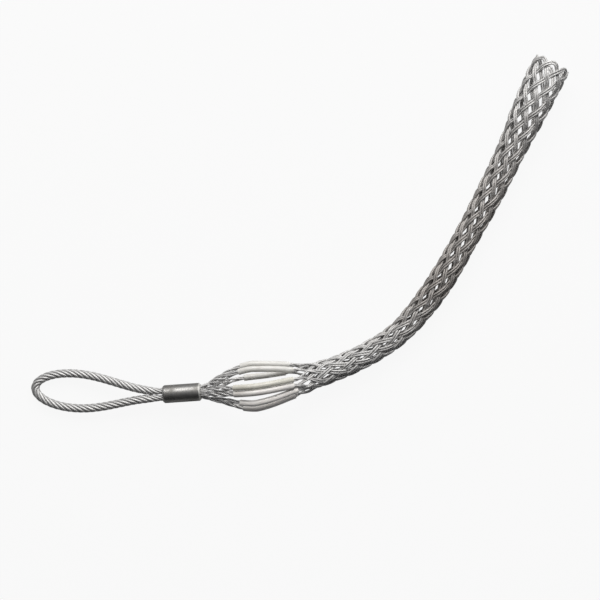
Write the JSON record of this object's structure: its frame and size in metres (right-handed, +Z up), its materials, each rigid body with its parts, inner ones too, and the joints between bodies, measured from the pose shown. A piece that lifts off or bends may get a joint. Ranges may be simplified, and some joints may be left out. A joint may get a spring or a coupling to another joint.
{
  "type": "cable pulling grip",
  "caption": "Woven steel wire cable pulling grip with a wire rope eye, swaged ferrule and plastic-sleeved strand legs, lying bent on the ground.",
  "frame": {"origin": "on the ground, under the middle of the grip's box", "axes": "+Z up, +X from the rope eye towards the mesh, +Y towards the side that the mesh bends to"},
  "size_m": [0.5398, 0.361, 0.0501],
  "materials": {
    "rope_steel": "satin grey wire rope with dark grooves",
    "ferrule_steel": "dark swaged steel, satin, fine marks round it",
    "strand_steel": "satin grey galvanised wire",
    "sleeve_plastic": "translucent whitish tube, soft gloss"
  },
  "bodies": {
    "root": {"wire_rope_eye": "rope_steel", "ferrule": "ferrule_steel", "woven_mesh": "strand_steel", "strand_leg_1": "strand_steel", "strand_leg_2": "strand_steel", "strand_leg_3": "strand_steel", "strand_leg_4": "strand_steel", "strand_leg_5": "strand_steel", "strand_leg_6": "strand_steel", "strand_leg_7": "strand_steel", "strand_leg_8": "strand_steel", "shoulder_sleeve_1": "sleeve_plastic", "shoulder_sleeve_2": "sleeve_plastic", "shoulder_sleeve_3": "sleeve_plastic", "shoulder_sleeve_4": "sleeve_plastic", "shoulder_sleeve_5": "sleeve_plastic", "shoulder_sleeve_6": "sleeve_plastic", "shoulder_sleeve_7": "sleeve_plastic", "shoulder_sleeve_8": "sleeve_plastic"}
  },
  "joints": []
}
